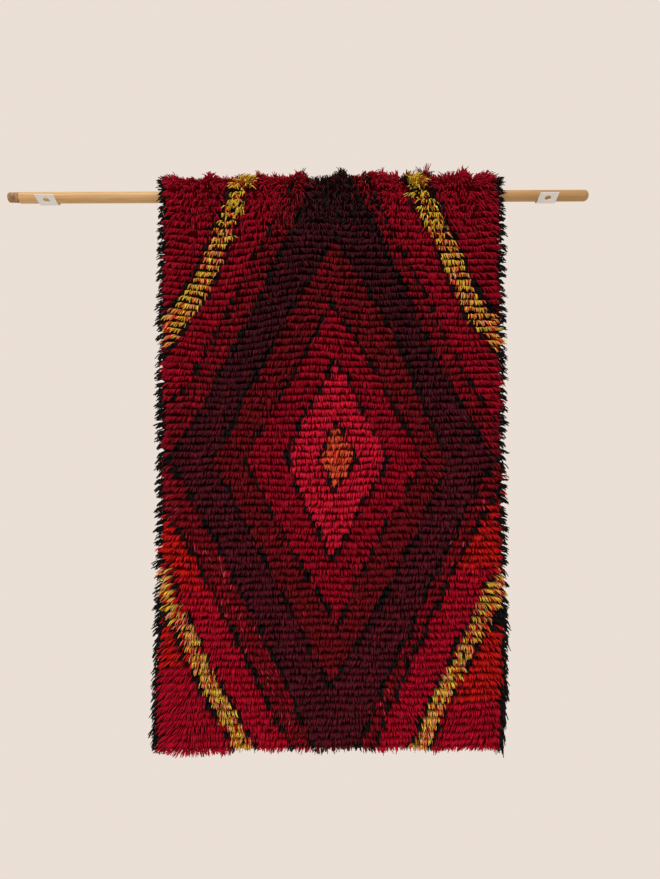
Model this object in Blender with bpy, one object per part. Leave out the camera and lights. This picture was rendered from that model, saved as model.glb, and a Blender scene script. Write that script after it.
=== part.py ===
"""Rya rug on a wooden pole: a shaggy wool rug hung by a rod pocket, its pole and two strap hooks.

X runs right along the pole, +Y goes into the wall and +Z is up. The origin is on the wall's face,
level with the pole's axis and midway between the hooks. Lengths are in metres.
"""
import math

import bmesh
import bpy
from mathutils import Vector

TAU = 2 * math.pi
FIT_GAP = 0.0003

# Pole: 24 mm round wood, its axis held off the wall by the hooks
POLE_RADIUS = 0.012
POLE_AXIS_Y = -0.0165
POLE_LEFT = -0.6227
POLE_RIGHT = 0.6280
POLE_SIDES = 28
NECK_LENGTH = 0.0245
NECK_RADIUS = 0.0106
NECK_LIFT = 0.0008
GROOVE_WIDTH = 0.0012
GROOVE_DEPTH = 0.0012
WORN_EDGE = 0.0016
DOME_LENGTH = 0.009
DOME_TURN = math.radians(78)
DOME_STEPS = 4

# Woven ground: one cloth, turned over the pole and sewn to its own back
RUG_CENTRE_X = 0.0723
GROUND_WIDTH = 0.692
GROUND_THICKNESS = 0.003
GROUND_BOTTOM = -1.174
POCKET_RADIUS = 0.0125
POCKET_STEPS = 11
SEAM_BELOW_AXIS = 0.034
TURNING_BELOW_AXIS = 0.050

# Pile: rows of knotted wool that overlap downwards, with the top row standing over the pole
PILE_HALF_WIDTH = 0.345
ROW_PITCH = 0.0144
HUNG_ROWS = 80
CREST_SHARE = 0.36
CREST_HEIGHT = 0.024
GROOVE_HEIGHT = 0.0165
PILE_ROOT_RADIUS = POCKET_RADIUS + GROUND_THICKNESS + FIT_GAP
ARC_LIFT = 0.0004
COLUMNS = 16
EDGE_SPLITS = 3
LUMP_HEIGHT = 0.0022
ROW_WAVE = 0.0024
SIDE_WOBBLE = 0.0022
SHOULDER = 0.004
MID_DEPTH = 0.55

# Lines of the pile over the pole: angle up and over from the room side in degrees, height, fine
TOP_LINES = (
    (0.0, 0.0165, False),
    (25.0, 0.0235, False),
    (50.0, 0.0170, False),
    (67.0, 0.0205, True),
    (84.0, 0.0215, True),
    (100.0, 0.0180, True),
)

# Tufts of the top edge and low places of the bottom edge: distance from the rug's middle,
# how far they stand out, half width
TOP_TUFTS = (
    (-0.327, 0.009, 0.014),
    (-0.262, 0.017, 0.013),
    (-0.190, 0.009, 0.014),
    (-0.130, 0.009, 0.020),
    (-0.068, 0.017, 0.018),
    (0.034, 0.017, 0.015),
    (0.110, 0.016, 0.013),
    (0.165, 0.013, 0.012),
    (0.205, 0.015, 0.011),
    (0.258, 0.011, 0.016),
    (0.315, 0.018, 0.020),
)
BOTTOM_DROPS = (
    (-0.312, 0.010, 0.035),
    (-0.045, 0.003, 0.014),
    (0.075, 0.002, 0.020),
)

# Locks of the rim: length of the lock, share of the root's size left at the tip
SIDE_LOCK = 0.0155
SIDE_LOCK_DROOP = 0.0065
TOP_LOCK = 0.0055
TOP_LOCK_LEAN = 0.35
BOTTOM_LOCK = 0.0075
LOCK_TAPER = 0.34
LOCK_VARIATION = 0.25

# Hooks: one bent strap each, screwed through its upright leg
HOOK_SPACING = 1.0735
HOOK_WIDTH = 0.040
STRAP = 0.0015
LEG_TOP = 0.0190
BEND_LEVEL = -0.001
LIP_RISE = math.radians(20)
LIP_REACH = 0.027
BEND_STEPS = 10
STRAP_EDGE = 0.0003
SPARE_HOLE_RADIUS = 0.0068
SPARE_HOLE_FORWARD = 0.0125
HOLE_SIDES = 24

# Screws: pan heads on the legs' upper ends
SCREW_LEVEL = 0.0152
SHANK_RADIUS = 0.0015
SHANK_HOLE_RADIUS = 0.0020
HEAD_RADIUS = 0.0040
HEAD_HEIGHT = 0.0025
SCREW_SIDES = 20


def clear_scene():
    """Start from an empty scene."""
    for thing in list(bpy.data.objects):
        bpy.data.objects.remove(thing, do_unlink=True)


def finish(name, colour, roughness, metallic=0.0):
    """A Principled material."""
    material = bpy.data.materials.new(name)
    material.use_nodes = True
    shader = material.node_tree.nodes["Principled BSDF"]
    shader.inputs["Base Color"].default_value = (*colour, 1.0)
    shader.inputs["Roughness"].default_value = roughness
    shader.inputs["Metallic"].default_value = metallic
    return material


def empty(name, place):
    """A guide that its pieces hang from."""
    guide = bpy.data.objects.new(name, None)
    guide.location = place
    bpy.context.scene.collection.objects.link(guide)
    return guide


def piece(name, mesh, material, place=(0, 0, 0), parent=None):
    """One sub-part at its place."""
    body = bpy.data.objects.new(name, mesh)
    body.location = place
    body.parent = parent
    if not mesh.materials:
        mesh.materials.append(material)
    bpy.context.scene.collection.objects.link(body)
    return body


def to_mesh(name, work, smooth_angle=None):
    """Close a working mesh: faces out, shaded smooth where the turn is gentle."""
    bmesh.ops.recalc_face_normals(work, faces=work.faces[:])
    mesh = bpy.data.meshes.new(name)
    work.to_mesh(mesh)
    work.free()
    if smooth_angle is not None:
        mesh.shade_smooth()
        mesh.set_sharp_from_angle(angle=math.radians(smooth_angle))
    return mesh


def turned(name, stations, sides, axis):
    """A round piece: stations are (place along the axis, radius, lift), first to last."""
    work = bmesh.new()
    rings = []
    for along, radius, lift in stations:
        ring = []
        for step in range(sides):
            turn = TAU * step / sides
            across, up = radius * math.cos(turn), radius * math.sin(turn) + lift
            spot = (along, across, up) if axis == "X" else (across, along, up)
            ring.append(work.verts.new(spot))
        rings.append(ring)
    for ring, following in zip(rings, rings[1:]):
        for step in range(sides):
            after = (step + 1) % sides
            work.faces.new((ring[step], ring[after], following[after], following[step]))
    work.faces.new(rings[0])
    work.faces.new(rings[-1])
    return to_mesh(name, work, smooth_angle=40)


def extruded(name, outline, cells, half_width, smooth_angle=None):
    """A side view of named (y, z) points and the cells between them, carried across X."""
    work = bmesh.new()
    verts = {key: work.verts.new((-half_width, y, z)) for key, (y, z) in outline.items()}
    faces = [work.faces.new([verts[key] for key in cell]) for cell in cells]
    grown = bmesh.ops.extrude_face_region(work, geom=faces)
    moved = [part for part in grown["geom"] if isinstance(part, bmesh.types.BMVert)]
    bmesh.ops.translate(work, vec=(2 * half_width, 0, 0), verts=moved)
    return to_mesh(name, work, smooth_angle)


def bumps(x, table):
    """Sum of soft bumps at x: each row is (centre, height, half width)."""
    return sum(rise * math.exp(-((x - centre) / half) ** 2) for centre, rise, half in table)


def pole_mesh():
    """Broom-handle pole: a slimmer, worn end behind a ring groove, and a domed end."""
    neck_end = POLE_LEFT + NECK_LENGTH
    dome_start = POLE_RIGHT - DOME_LENGTH
    stations = [
        (POLE_LEFT, NECK_RADIUS - WORN_EDGE, NECK_LIFT),
        (POLE_LEFT + WORN_EDGE / 2, NECK_RADIUS - WORN_EDGE / 3, NECK_LIFT),
        (POLE_LEFT + WORN_EDGE * 2, NECK_RADIUS, NECK_LIFT),
        (neck_end - GROOVE_WIDTH, NECK_RADIUS + WORN_EDGE / 4, NECK_LIFT / 2),
        (neck_end - GROOVE_WIDTH / 2, NECK_RADIUS - GROOVE_DEPTH, 0),
        (neck_end, POLE_RADIUS - WORN_EDGE / 4, 0),
        (neck_end + WORN_EDGE / 2, POLE_RADIUS, 0),
    ]
    for step in range(DOME_STEPS + 1):
        turn = DOME_TURN * step / DOME_STEPS
        along = dome_start + DOME_LENGTH * math.sin(turn) / math.sin(DOME_TURN)
        stations.append((along, POLE_RADIUS * math.cos(turn), 0))
    return turned("pole", stations, POLE_SIDES, "X")


def ground_mesh():
    """The cloth's side view round the pole's axis: sheet, pocket, slanting turn-over and its sewn end."""
    back, front = -POCKET_RADIUS, -POCKET_RADIUS - GROUND_THICKNESS
    outer_radius = POCKET_RADIUS + GROUND_THICKNESS
    slant = math.atan2(SEAM_BELOW_AXIS, POCKET_RADIUS)
    leave = 2 * math.pi - 2 * slant
    outline = {
        "front_hem": (front, GROUND_BOTTOM), "back_hem": (back, GROUND_BOTTOM),
        "front_turning": (front, -TURNING_BELOW_AXIS), "back_turning": (back, -TURNING_BELOW_AXIS),
        "front_seam": (front, -SEAM_BELOW_AXIS), "back_seam": (back, -SEAM_BELOW_AXIS),
    }
    for step in range(POCKET_STEPS + 1):
        angle = leave * step / POCKET_STEPS
        for side, radius in (("outer", outer_radius), ("inner", POCKET_RADIUS)):
            outline[side, step] = (-radius * math.cos(angle), radius * math.sin(angle))
    leave_y, leave_z = outline["outer", POCKET_STEPS]
    run_y = back - outline["inner", POCKET_STEPS][0]
    run_z = -SEAM_BELOW_AXIS - outline["inner", POCKET_STEPS][1]
    turning_back = back + GROUND_THICKNESS
    share = (turning_back - leave_y) / run_y
    outline["turning_top"] = (turning_back, leave_z + share * run_z)
    outline["turning_end"] = (turning_back, -TURNING_BELOW_AXIS)
    cells = [
        ("front_hem", "front_turning", "back_turning", "back_hem"),
        ("front_turning", "front_seam", "back_seam", "back_turning"),
        ("back_turning", "back_seam", "turning_top", "turning_end"),
        ("front_seam", ("outer", 0), ("inner", 0), "back_seam"),
        (("outer", POCKET_STEPS), "turning_top", "back_seam", ("inner", POCKET_STEPS)),
    ]
    for step in range(POCKET_STEPS):
        cells.append((("outer", step), ("outer", step + 1), ("inner", step + 1), ("inner", step)))
    return extruded("ground_weave", outline, cells, GROUND_WIDTH / 2, smooth_angle=35)


def lump(x, run):
    """Unevenness of the pile's height, between about -1 and 1."""
    broad = 0.45 * math.sin(TAU * (x / 0.21 + run / 0.37))
    middle = 0.35 * math.sin(TAU * (x / 0.093 - run / 0.16 + 0.3))
    return broad + middle + 0.20 * math.sin(TAU * (x / 0.31 + run / 0.058))


def wave(x, run):
    """How far a row strays up or down along its length."""
    slow = 0.65 * math.sin(TAU * (x / 0.29 + run / 0.55))
    return ROW_WAVE * (slow + 0.35 * math.sin(TAU * (x / 0.115 - run / 0.24)))


def pile_spot(x, run, height):
    """A point of the pile: run is measured up the ground from the pole's level, then round the pole."""
    reach = PILE_ROOT_RADIUS + height
    if run <= 0:
        return Vector((x, -reach, run))
    angle = run / PILE_ROOT_RADIUS
    return Vector((x, -reach * math.cos(angle), reach * math.sin(angle)))


def pile_lines():
    """Every line of the pile's face from the bottom up: (run, height, fine)."""
    lines = []
    for row in range(HUNG_ROWS):
        start = (row - HUNG_ROWS) * ROW_PITCH
        lines.append((start, GROOVE_HEIGHT, row == 0))
        lines.append((start + CREST_SHARE * ROW_PITCH, CREST_HEIGHT, False))
    for angle, height, fine in TOP_LINES:
        lines.append((math.radians(angle) * PILE_ROOT_RADIUS, height, fine))
    return lines


class Pile:
    """Builds the slab of pile line by line, with a lock drawn out of chosen rim cells."""

    def __init__(self):
        self.work = bmesh.new()
        self.lines = pile_lines()
        self.last = len(self.lines) - 1
        self.fronts = []
        self.mids = []
        self.backs = []

    def columns(self, fine):
        """Places across the pile's face."""
        count = COLUMNS * (EDGE_SPLITS if fine else 1)
        half = PILE_HALF_WIDTH - SHOULDER
        return [-half + 2 * half * step / count for step in range(count + 1)]

    def front_spot(self, index, x):
        """A point of the pile's face on one line."""
        run, height, _ = self.lines[index]
        height += LUMP_HEIGHT * lump(x, run)
        if run > 0:
            share = run / self.lines[self.last][0]
            height += 0.45 * share * bumps(x, TOP_TUFTS)
            return pile_spot(x, run, height)
        drop = bumps(x, BOTTOM_DROPS) * math.exp((self.lines[0][0] - run) / 0.030)
        return pile_spot(x, run + wave(x, run) * math.sqrt(min(1.0, -run / 0.05)) - drop, height)

    def rim_spot(self, index, x, depth):
        """A point of the rim at a share of the pile's height, or on its flat back at 0."""
        run, height, _ = self.lines[index]
        side = 0.0
        if abs(x) > PILE_HALF_WIDTH - 2 * SHOULDER:
            wobble = SIDE_WOBBLE * lump(0.4 * x, 3.1 * run)
            side = math.copysign(SHOULDER + wobble if depth else SHOULDER / 2, x)
        if depth == 0:
            return pile_spot(x + side, run, ARC_LIFT if run >= 0 else 0.0)
        return pile_spot(x + side, run, depth * height)

    def make_points(self):
        """Face points of every line, and the rim's points at both sides or along a whole edge."""
        for index, (_, _, fine) in enumerate(self.lines):
            places = self.columns(fine)
            self.fronts.append([self.work.verts.new(self.front_spot(index, x)) for x in places])
            edge = places if index in (0, self.last) else [places[0], places[-1]]
            for rows, depth in ((self.mids, MID_DEPTH), (self.backs, 0)):
                rows.append([self.work.verts.new(self.rim_spot(index, x, depth)) for x in edge])

    def face(self, *corners):
        """One plain face."""
        self.work.faces.new(corners)

    def lock(self, corners, pull):
        """A four-sided lock drawn out of a cell and tapered."""
        centre = sum((corner.co for corner in corners), Vector()) / 4
        tips = []
        for corner in corners:
            tips.append(self.work.verts.new(centre + pull + (corner.co - centre) * LOCK_TAPER))
        for step in range(4):
            after = (step + 1) % 4
            self.face(corners[step], corners[after], tips[after], tips[step])
        self.face(*tips)

    def skin(self):
        """The ribbed face, with a strip of triangles where the edge lines are finer."""
        for index in range(self.last):
            low, high = self.fronts[index], self.fronts[index + 1]
            if len(low) == len(high):
                if len(low) > COLUMNS + 1:
                    continue
                for step in range(len(low) - 1):
                    self.face(low[step], low[step + 1], high[step + 1], high[step])
                continue
            coarse, dense = (low, high) if len(low) < len(high) else (high, low)
            for step in range(COLUMNS):
                first = EDGE_SPLITS * step
                self.face(coarse[step], dense[first], dense[first + 1])
                self.face(coarse[step], dense[first + 1], dense[first + 2], coarse[step + 1])
                self.face(coarse[step + 1], dense[first + 2], dense[first + 3])

    def sides(self):
        """The two side rims, with one lock to each row, at the front and the back in turn."""
        for side, outward in ((0, -1), (-1, 1)):
            for index in range(self.last):
                rails = (self.fronts, self.mids, self.backs)
                low = [rail[index][side] for rail in rails]
                high = [rail[index + 1][side] for rail in rails]
                row, crest = divmod(index, 2)
                for depth in range(2):
                    corners = (low[depth], low[depth + 1], high[depth + 1], high[depth])
                    if crest and row % 2 == depth:
                        vary = 1 + LOCK_VARIATION * lump(0.7 * side, 2.3 * self.lines[index][0])
                        pull = Vector((outward * SIDE_LOCK * vary, 0, -SIDE_LOCK_DROOP * vary))
                        self.lock(corners, pull)
                    else:
                        self.face(*corners)

    def top_tufts(self):
        """The two fine bands over the pole, with upright locks in turn."""
        for index in (self.last - 2, self.last - 1):
            low, high = self.fronts[index], self.fronts[index + 1]
            for step in range(len(low) - 1):
                corners = (low[step], low[step + 1], high[step + 1], high[step])
                if (step + index) % 2:
                    self.face(*corners)
                    continue
                x = (low[step].co.x + low[step + 1].co.x) / 2
                length = TOP_LOCK * (1 + LOCK_VARIATION * lump(5 * x, 0)) + bumps(x, TOP_TUFTS)
                lean = 0.004 * math.sin(TAU * x / 0.083)
                self.lock(corners, Vector((lean, -TOP_LOCK_LEAN * length, length)))

    def edge(self, index):
        """The rim along the top or the bottom edge; the bottom one has hanging locks in turn."""
        rails = (self.fronts[index], self.mids[index], self.backs[index])
        for step in range(len(rails[0]) - 1):
            for depth in range(2):
                near, far = rails[depth], rails[depth + 1]
                corners = (near[step], near[step + 1], far[step + 1], far[step])
                if index == 0 and step % 2 == depth:
                    x = (near[step].co.x + near[step + 1].co.x) / 2
                    length = BOTTOM_LOCK * (1 + LOCK_VARIATION * lump(4 * x, 0))
                    self.lock(corners, Vector((0, 0, -length - 0.4 * bumps(x, BOTTOM_DROPS))))
                else:
                    self.face(*corners)

    def back(self):
        """The flat back: one strip to each line, fanned out where an edge line is finer."""
        for index in range(self.last):
            low, high = self.backs[index], self.backs[index + 1]
            if len(low) == len(high):
                self.face(low[0], low[1], high[1], high[0])
                continue
            dense, plain = (low, high) if len(low) > len(high) else (high, low)
            middle = (len(dense) - 1) // 2
            for step in range(middle):
                self.face(plain[0], dense[step], dense[step + 1])
                self.face(plain[1], dense[middle + step], dense[middle + step + 1])
            self.face(plain[0], dense[middle], plain[1])

    def mesh(self):
        """The whole slab as one closed body."""
        self.make_points()
        self.skin()
        self.sides()
        self.top_tufts()
        self.edge(0)
        self.edge(self.last)
        self.back()
        return to_mesh("pile", self.work)


def hook_mesh():
    """Side view of the strap: a leg on the wall, a bend under the pole and a lip rising forward."""
    down = (-math.sin(LIP_RISE), -math.cos(LIP_RISE))
    seat = POLE_RADIUS + FIT_GAP
    outer = (STRAP + seat - POLE_AXIS_Y * math.sin(LIP_RISE) + BEND_LEVEL * math.cos(LIP_RISE))
    outer /= 1 + math.sin(LIP_RISE)
    centre_y = -outer
    outline = {("outer", 0): (0.0, LEG_TOP), ("inner", 0): (-STRAP, LEG_TOP)}
    for step in range(BEND_STEPS + 1):
        turn = (math.pi / 2 + LIP_RISE) * step / BEND_STEPS
        for side, radius in (("outer", outer), ("inner", outer - STRAP)):
            spot = (centre_y + radius * math.cos(turn), BEND_LEVEL - radius * math.sin(turn))
            outline[side, step + 1] = spot
    end = BEND_STEPS + 2
    for side, radius in (("outer", outer), ("inner", outer - STRAP)):
        start_y, start_z = centre_y + radius * down[0], BEND_LEVEL + radius * down[1]
        length = (start_y - (POLE_AXIS_Y - LIP_REACH)) / math.cos(LIP_RISE)
        outline[side, end] = (start_y - length * math.cos(LIP_RISE), start_z + length * math.sin(LIP_RISE))
    cells = []
    for step in range(end):
        cells.append((("outer", step), ("outer", step + 1), ("inner", step + 1), ("inner", step)))
    return extruded("hook", outline, cells, HOOK_WIDTH / 2, smooth_angle=30)


def cutter(name, radius, length, place, tilt, parent):
    """A round bar that drills one hole and isn't part of the model."""
    mesh = turned(name, ((-length / 2, radius, 0), (length / 2, radius, 0)), HOLE_SIDES, "Y")
    bar = bpy.data.objects.new(name, mesh)
    bar.location = place
    bar.rotation_euler = (tilt, 0, 0)
    bar.parent = parent
    bar.hide_render = True
    bar.display_type = "WIRE"
    bpy.context.scene.collection.objects.link(bar)
    return bar


def drill(body, bar):
    """Cut one hole."""
    cut = body.modifiers.new(bar.name, "BOOLEAN")
    cut.operation = "DIFFERENCE"
    cut.solver = "EXACT"
    cut.object = bar


def add_hook(side, x, material):
    """A hook with its screw hole and the spare hole in its lip."""
    body = piece("hook_" + side, hook_mesh(), material, (x, 0, 0))
    edge = body.modifiers.new("edge", "BEVEL")
    edge.width = STRAP_EDGE
    edge.segments = 1
    edge.limit_method = "ANGLE"
    edge.angle_limit = math.radians(60)
    drill(body, cutter("screw_hole_" + side, SHANK_HOLE_RADIUS, 0.01, (0, 0, SCREW_LEVEL), 0, body))
    forward = POLE_AXIS_Y - SPARE_HOLE_FORWARD
    under = -(POLE_RADIUS + FIT_GAP) / math.cos(LIP_RISE) + SPARE_HOLE_FORWARD * math.tan(LIP_RISE)
    tilt = math.pi / 2 - LIP_RISE
    drill(body, cutter("spare_hole_" + side, SPARE_HOLE_RADIUS, 0.012, (0, forward, under), tilt, body))


def screw_mesh():
    """Pan-head screw along Y, its head towards the room."""
    head_back = -STRAP - FIT_GAP
    head_front = head_back - HEAD_HEIGHT
    stations = (
        (head_front, 0.55 * HEAD_RADIUS, 0),
        (head_front + 0.2 * HEAD_HEIGHT, 0.85 * HEAD_RADIUS, 0),
        (head_front + 0.55 * HEAD_HEIGHT, HEAD_RADIUS, 0),
        (head_back, HEAD_RADIUS, 0),
        (head_back, SHANK_RADIUS, 0),
        (-FIT_GAP, SHANK_RADIUS, 0),
    )
    return turned("screw", stations, SCREW_SIDES, "Y")


def build():
    """Pole and rug on one guide at the pole's axis, then the hooks and screws on the wall."""
    clear_scene()
    wood = finish("pale_wood", (0.62, 0.42, 0.22), 0.45)
    jute = finish("taupe_weave", (0.33, 0.27, 0.20), 0.9)
    wool = finish("crimson_wool", (0.26, 0.005, 0.015), 0.85)
    coated = finish("white_strap", (0.62, 0.60, 0.56), 0.4, 0.1)
    steel = finish("screw_steel", (0.25, 0.24, 0.22), 0.4, 1.0)
    axis = empty("pole_axis", (0, POLE_AXIS_Y, 0))
    piece("pole", pole_mesh(), wood, parent=axis)
    piece("ground_weave", ground_mesh(), jute, (RUG_CENTRE_X, 0, 0), axis)
    piece("pile", Pile().mesh(), wool, (RUG_CENTRE_X, 0, 0), axis)
    for side, x in (("left", -HOOK_SPACING / 2), ("right", HOOK_SPACING / 2)):
        add_hook(side, x, coated)
        piece("screw_" + side, screw_mesh(), steel, (x, 0, SCREW_LEVEL))


build()
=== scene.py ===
import math

import bpy
import numpy as np
from mathutils import Matrix, Vector


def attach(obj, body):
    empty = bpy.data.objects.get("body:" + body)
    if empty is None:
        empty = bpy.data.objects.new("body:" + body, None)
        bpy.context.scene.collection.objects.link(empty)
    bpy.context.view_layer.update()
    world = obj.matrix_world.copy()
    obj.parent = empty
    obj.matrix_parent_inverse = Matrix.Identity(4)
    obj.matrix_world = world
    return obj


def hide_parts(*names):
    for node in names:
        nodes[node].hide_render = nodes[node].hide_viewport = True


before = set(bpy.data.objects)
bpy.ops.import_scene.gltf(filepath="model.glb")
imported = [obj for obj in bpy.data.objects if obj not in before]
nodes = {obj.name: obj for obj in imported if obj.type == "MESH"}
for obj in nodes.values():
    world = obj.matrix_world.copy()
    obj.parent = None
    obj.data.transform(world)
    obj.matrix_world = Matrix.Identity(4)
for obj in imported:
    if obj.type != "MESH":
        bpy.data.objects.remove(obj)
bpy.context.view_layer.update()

MM = 0.001

# Where the rug hangs, in metres, as in the part's source
POLE_AXIS_Y = -0.0165
RUG_CENTRE_X = 0.0723
POCKET_RADIUS = 0.0125
GROUND_WIDTH = 0.692
GROUND_THICKNESS = 0.003
GROUND_BOTTOM = -1.1625
SEAM_BELOW_AXIS = 0.034
TURNING_BELOW_AXIS = 0.050
PILE_ROOT_RADIUS = 0.0158
ROW_PITCH = 0.0144
HUNG_ROWS = 81
ARC_ROWS = (30, 58, 78, 98)
ROWS = HUNG_ROWS + len(ARC_ROWS)
LUMP_HEIGHT = 0.0022
ROW_WAVE = 0.0026
ROW_TILT = 0.011
BOTTOM_LIFT = 0.0035

# Knots of one row, and the strands of one knot
KNOTS = 157
KNOT_PITCH = 0.0044
STRANDS = 3
STRAND_RADIUS = 0.00112
ROOT_ABOVE_TIPS = 0.0125
REACH = 0.0225
DROP = 0.0118
LOW_DROP = 0.0090
RISE = 0.0004
FIRST_LOOSE_ROW = 72
LEAN = 0.0045
FAN_KNOTS = 13
EDGE_FAN = 0.025
BED_CREST = 0.0110
BED_GROOVE = 0.0035
FOOT_SHOULDER = 0.339
FOOT_BULGE = 0.021

# Tufts of the top edge and low places of the bottom edge: distance from the rug's middle,
# how far they stand out, half width
TOP_TUFTS = (
    (-0.327, 0.013, 0.014), (-0.262, 0.022, 0.012), (-0.190, 0.011, 0.014), (-0.150, 0.015, 0.016),
    (-0.110, 0.010, 0.016), (-0.068, 0.027, 0.020), (0.024, 0.030, 0.014), (0.062, 0.012, 0.014),
    (0.086, 0.021, 0.014), (0.112, 0.023, 0.012), (0.140, 0.020, 0.014), (0.172, 0.022, 0.013),
    (0.205, 0.028, 0.013), (0.258, 0.015, 0.016), (0.284, 0.026, 0.014), (0.325, 0.022, 0.016),
)
BOTTOM_DROPS = ((-0.300, 0.004, 0.040), (-0.215, 0.003, 0.022), (-0.045, 0.003, 0.014), (0.088, 0.003, 0.020))

# Loose warp ends below the hem: distance from the rug's middle, spread, count
WARP_ENDS = (
    (-0.255, 0.022, 26), (-0.180, 0.010, 8), (-0.020, 0.004, 5), (0.032, 0.004, 5), (0.150, 0.010, 12),
    (0.290, 0.006, 6), (0.330, 0.006, 7), (0.0, 0.19, 24),
)

# Levels of the pattern, in mm from the pole: where upper and lower stripes begin and end,
# where the low bands take other yarns, and above which black strands in the plum stand for painted shade
STRIPE_SPLIT = -400
LEFT_STRIPE_END = -338
LOWER_STRIPE_TOP = -788
LOWER_OUTLINE_TOP = -785
LOW_BANDS = -640
DARK_TOP = -70

# Low on the left the pile flares outwards; on the right it is trimmed from these runs down
LEFT_FLARE = 0.010
RIGHT_TRIMS = ((0.40, 0.0035), (1.04, 0.0120))

draw = np.random.default_rng(41)


class Lozenge:
    """Four curved edges round a centre.

    Corners are (across, level) in mm, and bows are how far each edge swells.
    """

    def __init__(self, top, right, bottom, left, bows):
        self.top, self.right, self.bottom, self.left = top, right, bottom, left
        self.bows = bows

    def edge(self, tip, corner, bow, level):
        share = (level - corner[1]) / (tip[1] - corner[1])
        swell = bow * math.sin(math.pi * share) * (1 if corner[0] > tip[0] else -1)
        return corner[0] + (tip[0] - corner[0]) * share + swell

    def span(self, level):
        """Left and right edge at that level, or None above and below the lozenge."""
        if not self.bottom[1] < level < self.top[1]:
            return None
        upper_left, upper_right, lower_left, lower_right = self.bows
        ends = []
        sides = (self.left, upper_left, lower_left), (self.right, upper_right, lower_right)
        for corner, upper, lower in sides:
            if level >= corner[1]:
                ends.append(self.edge(self.top, corner, upper, level))
            else:
                ends.append(self.edge(self.bottom, corner, lower, level))
        return ends


LOZENGES = (
    ("orange", Lozenge((8, -494), (47, -569), (7, -629), (-25, -569), (0, 1, 0, 6))),
    ("bright_red", Lozenge((9, -357), (118, -563), (1, -781), (-100, -562), (0, 0, 0, 0))),
    ("crimson", Lozenge((3, -239), (190, -574), (9, -917), (-184, -572), (-4, 5, 0, -12))),
    ("dark_red", Lozenge((4, -97), (238, -574), (-6, -1038), (-246, -572), (3, 20, 0, 15))),
    ("plum", Lozenge((2, 125), (329, -574), (2, -1262), (-329, -572), (-12, -7, -15, -6))),
    ("dark_red_band", Lozenge((0, 190), (373, -573), (0, -1333), (-390, -573), (-10, -8, -5, -12))),
)


def stripe(level, right_side):
    """Middle and half width of the gold stripe that crosses that side at that level, in mm.

    The bumps, ramps and swing are the real rug's own unevenness, set from the photo.
    """
    if level > STRIPE_SPLIT:
        down = 28 - level
        if right_side:
            bump = 6 * math.exp(-((down - 150) / 60) ** 2)
            return 181 + 0.286 * down + 0.00048 * down * down + bump, 17 + 0.022 * down
        inward = 9 * min(1.0, max(0.0, (down - 120) / 80))
        return -181 - 0.342 * down - 0.00043 * down * down + inward, 17 + 0.025 * down
    down = -855 - level
    low = max(0.0, down)
    half = 17 + 3 * math.exp(-low / 60) + 2 * min(1.0, low / 120)
    if right_side:
        ramps = 5 * min(1.0, low / 60), 6 * max(0.0, (down - 230) / 70)
        return 322 - 0.517 * down + ramps[0] + ramps[1], half
    half -= 6 * math.exp(-low / 60)
    if down < 0:
        return -329 + 0.22 * down, half
    swing = 6 * math.sin(math.pi * min(1.0, max(0.0, (down - 60) / 240)))
    return -332 + 0.497 * down - swing + 3 * math.exp(-low / 60), half


def outer_field(across, level):
    """Colour outside the outermost lozenge."""
    right_side = across > 0
    middle, half = stripe(level, right_side)
    upper = level > STRIPE_SPLIT
    if level > (STRIPE_SPLIT if right_side else LEFT_STRIPE_END) or level < LOWER_STRIPE_TOP:
        if abs(across - middle) < half:
            return "gold"
    if upper:
        return "crimson_field"
    if abs(across) > abs(middle) and level < -800:
        return "scarlet" if level > (-1066 if right_side else -1000) else "crimson_field"
    if (-790 if right_side else -850) < level < LOW_BANDS:
        return "scarlet"
    return "crimson_field"


def field_at(across, level):
    """The pattern's colour at a place, in mm from the rug's middle and from the pole's level."""
    for name, lozenge in LOZENGES:
        ends = lozenge.span(level)
        if ends and ends[0] < across < ends[1]:
            return name
    return outer_field(across, level)


def outlines_at(level):
    """Where black outlines cross that level, in mm, by name and side."""
    places = {}
    for name, lozenge in LOZENGES:
        ends = lozenge.span(level)
        if ends:
            aside = 3.0 if name == "orange" else 0.0
            places[name, "left"] = ends[0] - aside
            places[name, "right"] = ends[1] + aside
    for right_side in (False, True):
        middle, half = stripe(level, right_side)
        if level > STRIPE_SPLIT or level < LOWER_OUTLINE_TOP:
            places["gold", right_side, "left"] = middle - half - 3.5
            places["gold", right_side, "right"] = middle + half + 3.5
    return places


def outline_width(name, level):
    """How many knots wide an outline is at one row."""
    if name == "gold":
        return draw.choice((0, 1, 2, 3), p=(0.08, 0.34, 0.42, 0.16))
    if name == "orange" or name in ("plum", "dark_red_band") and level < LOW_BANDS:
        return draw.choice((1, 2, 3), p=(0.30, 0.45, 0.25))
    if name == "dark_red_band":
        return draw.choice((0, 1, 2, 3), p=(0.20, 0.38, 0.32, 0.10))
    return draw.choice((0, 1, 2, 3), p=(0.06, 0.36, 0.42, 0.16))


def lay_out_row(row):
    """The field of each knot of one row, with black knots along the outlines."""
    level, run = row_level(row), row_run(row)
    across = [(knot - (KNOTS - 1) / 2) * KNOT_PITCH / MM for knot in range(KNOTS)]
    shift = draw.normal(0, 0.9)

    def here(place):
        return level + stray(place * MM, run) / MM

    fields = [field_at(place + shift + draw.normal(0, 0.5), here(place)) for place in across]
    for key, place in outlines_at(level).items():
        place = outlines_at(here(place)).get(key, place)
        wide = outline_width(key[0], level)
        near = place + draw.normal(0, 1.2)
        first = round(near / (KNOT_PITCH / MM) + (KNOTS - 1) / 2 - (wide - 1) / 2)
        for knot in range(first, first + wide):
            if 0 <= knot < KNOTS:
                fields[knot] = "black"
    chances = (0.97, 0.88, 0.5) if level < -880 else (0.95, 0.7, 0.25)
    for place, chance in enumerate(chances):
        for knot in (place, KNOTS - 1 - place):
            if draw.random() < (0.55 * chance if fields[knot] == "gold" else chance):
                fields[knot] = "black"
    return fields


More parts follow.
